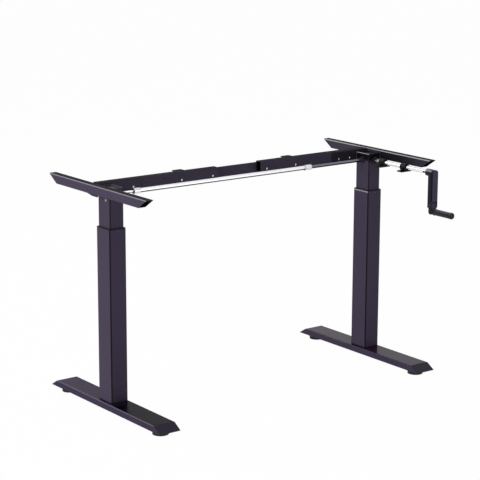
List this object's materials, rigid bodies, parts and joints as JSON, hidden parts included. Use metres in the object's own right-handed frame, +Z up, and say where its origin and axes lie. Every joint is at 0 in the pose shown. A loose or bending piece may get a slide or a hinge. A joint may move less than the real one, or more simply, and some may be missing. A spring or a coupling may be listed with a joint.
{
  "type": "height adjustable standing desk frame",
  "caption": "Hand-cranked height adjustable desk frame: telescopic columns on flat feet, a rear beam, a cross shaft and a folding crank handle.",
  "frame": {"origin": "on the floor, midway between the two columns", "axes": "+Z up; +X along the beam towards the column with the crank; -Y the front, where the crank handle reaches out"},
  "size_m": [1.264, 0.8038, 0.799],
  "materials": {
    "black_powder_coat": "fine textured black powder coat",
    "bare_steel": "oiled bare steel",
    "gear_steel": "machined steel",
    "zinc_plate": "bright zinc plate",
    "black_steel": "black oxide",
    "black_plastic": "fine-grained moulded black",
    "case_alloy": "as cast",
    "nut_bronze": "machined"
  },
  "bodies": {
    "base": {"left_foot": "black_powder_coat", "right_foot": "black_powder_coat", "foot_backing_plates": "bare_steel", "foot_bolts": "zinc_plate", "glide_nuts": "bare_steel", "left_outer_column": "black_powder_coat", "right_outer_column": "black_powder_coat", "column_bushes": "black_plastic", "column_bush_screws": "black_steel", "column_base_plates": "bare_steel", "nut_tubes": "bare_steel", "lead_nuts": "nut_bronze"},
    "left_front_glide": {"left_front_glide": "black_plastic"},
    "left_rear_glide": {"left_rear_glide": "black_plastic"},
    "right_front_glide": {"right_front_glide": "black_plastic"},
    "right_rear_glide": {"right_rear_glide": "black_plastic"},
    "upper_frame": {"left_inner_column": "black_powder_coat", "right_inner_column": "black_powder_coat", "slide_shoes": "black_plastic", "gear_cases": "case_alloy", "gear_covers": "case_alloy", "gear_case_screws": "zinc_plate", "thrust_bearings": "bare_steel", "drive_bosses": "black_plastic", "crank_boss": "black_plastic", "left_head_plate": "black_powder_coat", "right_head_plate": "black_powder_coat", "left_beam_arm": "black_powder_coat", "right_beam_arm": "black_powder_coat", "left_beam_rail": "black_powder_coat", "right_beam_rail": "black_powder_coat", "left_side_bracket": "black_powder_coat", "right_side_bracket": "black_powder_coat", "bracket_bolts": "black_steel", "centre_rail": "black_powder_coat", "table_lugs": "black_powder_coat", "beam_bolts": "zinc_plate", "beam_nuts": "zinc_plate"},
    "left_spindle": {"left_lead_screw": "bare_steel", "left_screw_gear": "gear_steel"},
    "right_spindle": {"right_lead_screw": "bare_steel", "right_screw_gear": "gear_steel"},
    "drive_line": {"left_drive_pinion": "gear_steel", "right_drive_pinion": "gear_steel", "left_drive_collar": "zinc_plate", "right_drive_collar": "zinc_plate", "collar_screws": "black_steel", "drive_tube": "zinc_plate", "hexagon_rod": "black_steel"},
    "crank": {"crank_pinion": "gear_steel", "crank_rod": "zinc_plate", "snap_pin": "black_steel", "crank_arm": "black_plastic", "fold_pin": "black_steel"},
    "grip_arm": {"grip_elbow": "black_plastic", "grip_pin": "bare_steel"},
    "grip": {"grip_sleeve": "black_plastic"},
    "rear_hanger": {"rear_rod_hanger": "black_plastic"},
    "front_hanger": {"front_rod_hanger": "black_plastic"}
  },
  "joints": [
    {"name": "lift", "type": "slide", "parent": "base", "child": "upper_frame", "axis": [0, 0, 1], "range_m": [-0.0901, 0.3301]},
    {"name": "crank_turn", "type": "hinge", "parent": "upper_frame", "child": "crank", "pos_m": [0.5715, -0.3, 0.7645], "axis": [0, 1, 0], "range_deg": [-5400, 19800]},
    {"name": "drive_line_turn", "type": "hinge", "parent": "upper_frame", "child": "drive_line", "pos_m": [0, 0, 0.7645], "axis": [1, 0, 0], "range_deg": [-5410, 19810]},
    {"name": "left_screw_turn", "type": "hinge", "parent": "upper_frame", "child": "left_spindle", "pos_m": [-0.5715, 0, 0.5], "axis": [0, 0, 1], "range_deg": [-2710, 9910]},
    {"name": "right_screw_turn", "type": "hinge", "parent": "upper_frame", "child": "right_spindle", "pos_m": [0.5715, 0, 0.5], "axis": [0, 0, 1], "range_deg": [-9910, 2710]},
    {"name": "grip_fold", "type": "hinge", "parent": "crank", "child": "grip_arm", "pos_m": [0.5715, -0.3555, 0.649], "axis": [-1, 0, 0], "range_deg": [0, 90]},
    {"name": "grip_spin", "type": "hinge", "parent": "grip_arm", "child": "grip", "pos_m": [0.5715, -0.42, 0.6245], "axis": [0, -1, 0], "continuous": true},
    {"name": "rear_hanger_swing", "type": "hinge", "parent": "upper_frame", "child": "rear_hanger", "pos_m": [0.5715, -0.084, 0.7645], "axis": [0, 1, 0], "continuous": true},
    {"name": "front_hanger_swing", "type": "hinge", "parent": "upper_frame", "child": "front_hanger", "pos_m": [0.5715, -0.201, 0.7645], "axis": [0, 1, 0], "continuous": true},
    {"name": "left_front_glide_screw", "type": "slide", "parent": "base", "child": "left_front_glide", "axis": [0, 0, -1], "range_m": [0, 0.008]},
    {"name": "left_rear_glide_screw", "type": "slide", "parent": "base", "child": "left_rear_glide", "axis": [0, 0, -1], "range_m": [0, 0.008]},
    {"name": "right_front_glide_screw", "type": "slide", "parent": "base", "child": "right_front_glide", "axis": [0, 0, -1], "range_m": [0, 0.008]},
    {"name": "right_rear_glide_screw", "type": "slide", "parent": "base", "child": "right_rear_glide", "axis": [0, 0, -1], "range_m": [0, 0.008]}
  ],
  "couplings": [
    {"joint": "lift", "follows": "crank_turn", "m_per_rad": 0.00095493},
    {"joint": "drive_line_turn", "follows": "crank_turn", "ratio": 1},
    {"joint": "left_screw_turn", "follows": "crank_turn", "ratio": 0.5},
    {"joint": "right_screw_turn", "follows": "crank_turn", "ratio": -0.5}
  ]
}
